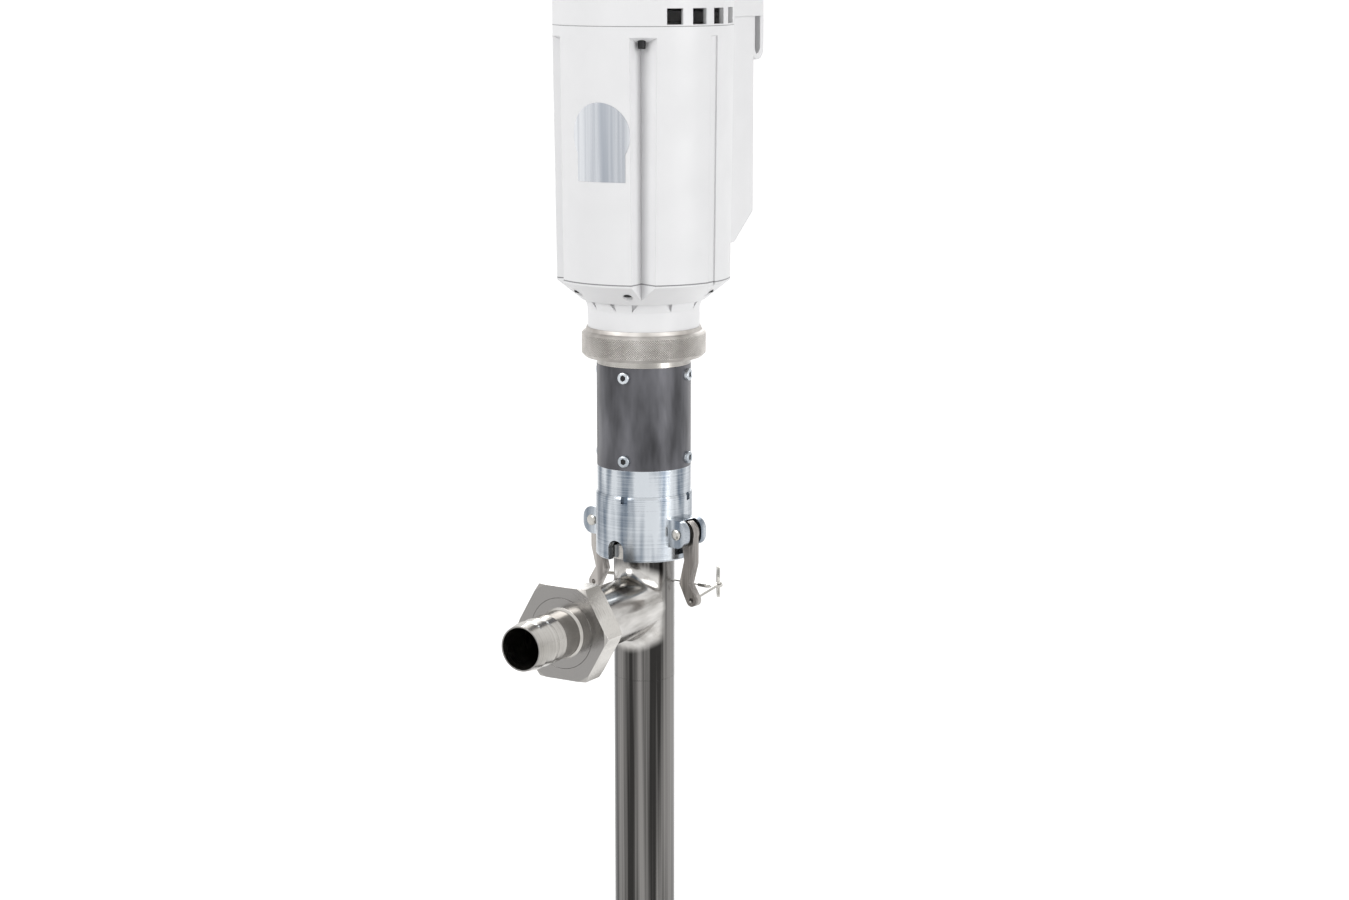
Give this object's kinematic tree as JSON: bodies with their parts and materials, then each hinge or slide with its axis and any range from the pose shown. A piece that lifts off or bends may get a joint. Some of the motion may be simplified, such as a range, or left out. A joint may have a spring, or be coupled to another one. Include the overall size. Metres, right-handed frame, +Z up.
{
  "type": "drum pump",
  "caption": "Electric drum pump: geared motor on a cam-lever coupling over a long suction tube, side discharge with hex union and hose tail.",
  "frame": {"origin": "on the suction tube's axis at its inlet end", "axes": "+Z up along the suction tube, discharge towards -Y"},
  "size_m": [0.1468, 0.3018, 1.5984],
  "materials": {
    "stainless": "polished and brushed stainless steel",
    "nut_steel": "turned and machined stainless steel",
    "lever_steel": "brushed stainless bar",
    "coupler_metal": "bright turned aluminium",
    "collar_metal": "knurled and anodised aluminium",
    "black_sleeve": "satin black anodised aluminium",
    "motor_white": "pale grey-white enamel",
    "plated_screw": "zinc-plated steel",
    "shaft_steel": "ground steel",
    "gear_steel": "hardened steel",
    "field_iron": "laminated iron",
    "copper": "copper segments",
    "seal_rubber": "moulded nitrile",
    "stator_rubber": "moulded nitrile",
    "bush_plastic": "turned fluoropolymer",
    "carbon": "pressed carbon",
    "fan_plastic": "moulded nylon",
    "switch_plastic": "moulded nylon"
  },
  "bodies": {
    "pump": {"outer_tube": "stainless", "inlet_foot": "stainless", "stator_housing": "stainless", "tee_body": "stainless", "stator_liner": "stator_rubber", "shaft_bushes": "bush_plastic", "shaft_seal": "seal_rubber", "cam_adapter": "stainless", "union_ferrule": "nut_steel", "union_gasket": "seal_rubber", "hose_tail": "nut_steel", "coupler_body": "coupler_metal", "coupler_gasket": "seal_rubber", "pivot_pins": "plated_screw", "keeper_wire": "plated_screw", "lock_ring": "coupler_metal", "output_flange": "coupler_metal", "output_bearings": "shaft_steel", "output_seal": "seal_rubber", "reducer_sleeve": "black_sleeve", "sleeve_screws": "plated_screw", "ring_gear": "gear_steel", "input_flange": "coupler_metal", "end_bell": "motor_white", "motor_bearings": "shaft_steel", "motor_housing": "motor_white", "field_core": "field_iron", "brush_holders": "copper", "carbon_brushes": "carbon", "bearing_bridge": "coupler_metal", "tie_screws": "plated_screw", "rear_cover": "motor_white", "motor_cap": "motor_white", "cap_hook": "motor_white", "cable_inlet": "seal_rubber"},
    "output_drive": {"planet_carrier": "gear_steel", "planet_pins": "shaft_steel", "drive_dog": "gear_steel", "drive_shaft": "shaft_steel", "shaft_cup": "shaft_steel"},
    "armature": {"motor_shaft": "shaft_steel", "sun_gear": "gear_steel", "armature_core": "field_iron", "commutator": "copper", "cooling_fan": "fan_plastic"},
    "planet_1": {"planet_gear_1": "gear_steel"},
    "planet_2": {"planet_gear_2": "gear_steel"},
    "planet_3": {"planet_gear_3": "gear_steel"},
    "rod": {"connecting_rod": "shaft_steel"},
    "screw": {"rotor": "shaft_steel"},
    "lever_right": {"cam_lever_right": "lever_steel"},
    "lever_left": {"cam_lever_left": "lever_steel"},
    "pull_pin": {"ring_pin": "plated_screw"},
    "pull_ring": {"split_ring": "plated_screw"},
    "collar": {"collar_nut": "collar_metal"},
    "union": {"union_nut": "nut_steel"},
    "switch": {"power_switch": "switch_plastic"}
  },
  "joints": [
    {"name": "pump_spin", "type": "hinge", "parent": "pump", "child": "output_drive", "pos_m": [0, 0, 1.15], "axis": [0, 0, 1], "continuous": true},
    {"name": "motor_spin", "type": "hinge", "parent": "pump", "child": "armature", "pos_m": [0, 0, 1.35], "axis": [0, 0, 1], "continuous": true},
    {"name": "planet_1_spin", "type": "hinge", "parent": "output_drive", "child": "planet_1", "pos_m": [0.01875, 0, 1.1899], "axis": [0, 0, 1], "continuous": true},
    {"name": "planet_2_spin", "type": "hinge", "parent": "output_drive", "child": "planet_2", "pos_m": [-0.00937, 0.01624, 1.1899], "axis": [0, 0, 1], "continuous": true},
    {"name": "planet_3_spin", "type": "hinge", "parent": "output_drive", "child": "planet_3", "pos_m": [-0.00937, -0.01624, 1.1899], "axis": [0, 0, 1], "continuous": true},
    {"name": "rod_sweep", "type": "hinge", "parent": "pump", "child": "rod", "pos_m": [0, 0, 0.45], "axis": [0, 0, 1], "continuous": true},
    {"name": "rotor_roll", "type": "hinge", "parent": "rod", "child": "screw", "pos_m": [0.0026, 0, 0.13], "axis": [0, 0, 1], "continuous": true},
    {"name": "right_lever_hinge", "type": "hinge", "parent": "pump", "child": "lever_right", "pos_m": [0.04589, -0.00751, 1.1056], "axis": [-0.1616, -0.9869, 0], "range_deg": [0, 100]},
    {"name": "left_lever_hinge", "type": "hinge", "parent": "pump", "child": "lever_left", "pos_m": [-0.04589, 0.00751, 1.1056], "axis": [0.1616, 0.9869, 0], "range_deg": [0, 100]},
    {"name": "ring_pin_slide", "type": "slide", "parent": "lever_right", "child": "pull_pin", "axis": [0.1581, 0.9653, 0.2079], "range_m": [0, 0.03]},
    {"name": "split_ring_swing", "type": "hinge", "parent": "pull_pin", "child": "pull_ring", "pos_m": [0.05841, 0.02314, 1.05646], "axis": [0, 0, 1], "range_deg": [-90, 50]},
    {"name": "collar_nut_turn", "type": "hinge", "parent": "pump", "child": "collar", "pos_m": [0, 0, 1.26], "axis": [0, 0, 1], "continuous": true},
    {"name": "union_nut_turn", "type": "hinge", "parent": "pump", "child": "union", "pos_m": [0, -0.115, 1.04], "axis": [0, -1, 0], "continuous": true},
    {"name": "switch_rock", "type": "hinge", "parent": "pump", "child": "switch", "pos_m": [0.00802, 0.09165, 1.4283], "axis": [0.9962, -0.0872, 0], "range_deg": [0, 10]}
  ],
  "couplings": [
    {"joint": "motor_spin", "follows": "pump_spin", "ratio": 5},
    {"joint": "planet_1_spin", "follows": "pump_spin", "ratio": -2.6667},
    {"joint": "planet_2_spin", "follows": "pump_spin", "ratio": -2.6667},
    {"joint": "planet_3_spin", "follows": "pump_spin", "ratio": -2.6667},
    {"joint": "rod_sweep", "follows": "pump_spin", "ratio": -1},
    {"joint": "rotor_roll", "follows": "pump_spin", "ratio": 2}
  ]
}
